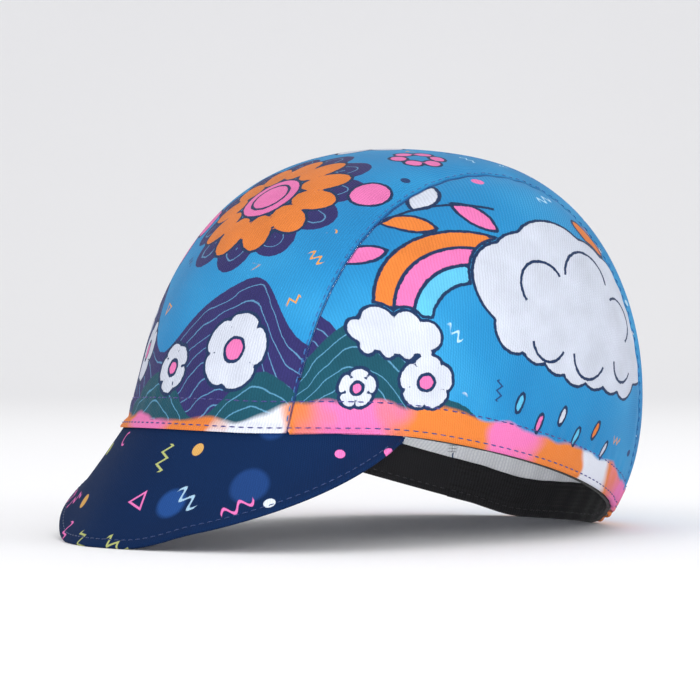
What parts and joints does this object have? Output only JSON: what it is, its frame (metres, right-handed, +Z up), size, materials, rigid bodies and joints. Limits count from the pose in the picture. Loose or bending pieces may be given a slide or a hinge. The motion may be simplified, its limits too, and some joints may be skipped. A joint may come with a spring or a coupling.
{
  "type": "cycling cap",
  "caption": "Soft three-panel cycling cap with a short peak turned down, an inner band and an elastic back, standing on its peak and rear hem.",
  "frame": {"origin": "on the table, under the middle of the cap's length and width", "axes": "+Z up, the peak towards -Y, the wearer's left towards +X"},
  "size_m": [0.1714, 0.2454, 0.1494],
  "materials": {
    "printed_knit": "smooth matt polyester knit with a dye print on sky blue",
    "reverse_knit": "unprinted light grey reverse of the knit, overlocked at its edges",
    "band_knit": "smooth black knit band",
    "band_elastic": "black elastic with fine ribs along its length",
    "peak_cloth": "navy printed polyester cloth with topstitching along its edge"
  },
  "bodies": {
    "root": {"crown_centre_panel": "printed_knit", "crown_left_panel": "printed_knit", "crown_right_panel": "printed_knit", "left_seam_allowance": "reverse_knit", "right_seam_allowance": "reverse_knit", "sweatband_front": "band_knit", "rear_elastic": "band_elastic", "peak_top_cover": "peak_cloth", "peak_under_cover": "peak_cloth"}
  },
  "joints": []
}
